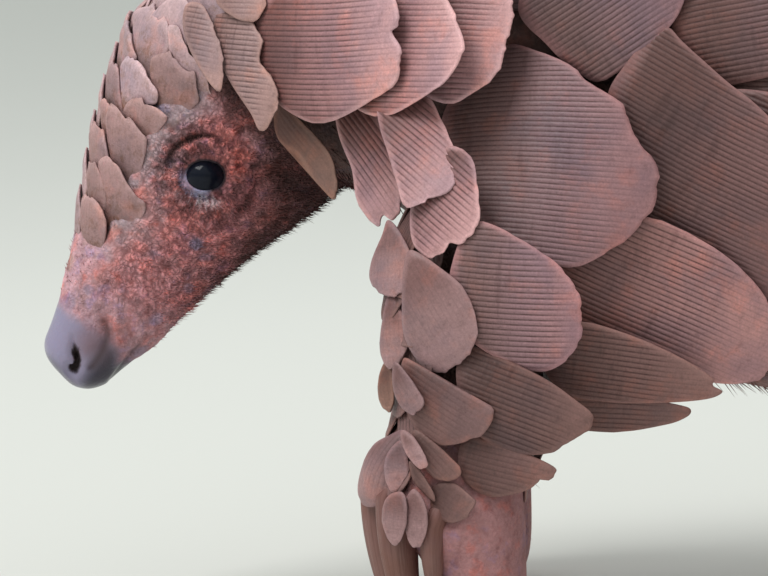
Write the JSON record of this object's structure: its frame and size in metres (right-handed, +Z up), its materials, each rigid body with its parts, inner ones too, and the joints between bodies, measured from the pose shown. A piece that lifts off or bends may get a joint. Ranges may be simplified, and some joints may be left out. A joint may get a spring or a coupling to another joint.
{
  "type": "ground pangolin",
  "caption": "Life-size ground pangolin standing on all fours, head hanging low, body, legs and tail clad in overlapping ridged scales.",
  "frame": {"origin": "on the floor under the middle of the animal's box", "axes": "+Z up, the animal faces -Y, its left side is at +X"},
  "size_m": [0.1786, 0.8604, 0.2508],
  "materials": {
    "scale": "dusty reddish brown horn, finely ridged from root to tip, worn smooth and paler at the edges",
    "hide": "rough warty skin with short dark hairs, reddest round the eye and on the cheek",
    "nose": "bare smooth purple-grey skin, slightly moist",
    "claw": "worn brown horn, paler at the tip",
    "eye": "wet black"
  },
  "bodies": {
    "root": {"chest": "scale", "ear_left": "hide", "ear_right": "hide", "eye_left": "eye", "eye_right": "eye", "forearm_left": "scale", "forearm_right": "scale", "foreclaw_left_1": "claw", "foreclaw_left_2": "claw", "foreclaw_left_3": "claw", "foreclaw_left_4": "claw", "foreclaw_left_5": "claw", "foreclaw_right_1": "claw", "foreclaw_right_2": "claw", "foreclaw_right_3": "claw", "foreclaw_right_4": "claw", "foreclaw_right_5": "claw", "forefoot_left": "hide", "forefoot_right": "hide", "head": "hide", "hindclaw_left_1": "claw", "hindclaw_left_2": "claw", "hindclaw_left_3": "claw", "hindclaw_left_4": "claw", "hindclaw_left_5": "claw", "hindclaw_right_1": "claw", "hindclaw_right_2": "claw", "hindclaw_right_3": "claw", "hindclaw_right_4": "claw", "hindclaw_right_5": "claw", "hindfoot_left": "hide", "hindfoot_right": "hide", "loin": "scale", "lower_jaw": "hide", "neck": "scale", "nose": "nose", "rump": "scale", "shank_left": "scale", "shank_right": "scale", "shoulders": "scale", "tail_end": "scale", "tail_middle": "scale", "tail_root": "scale", "thigh_left": "scale", "thigh_right": "scale", "upper_foreleg_left": "scale", "upper_foreleg_right": "scale"}
  },
  "joints": []
}
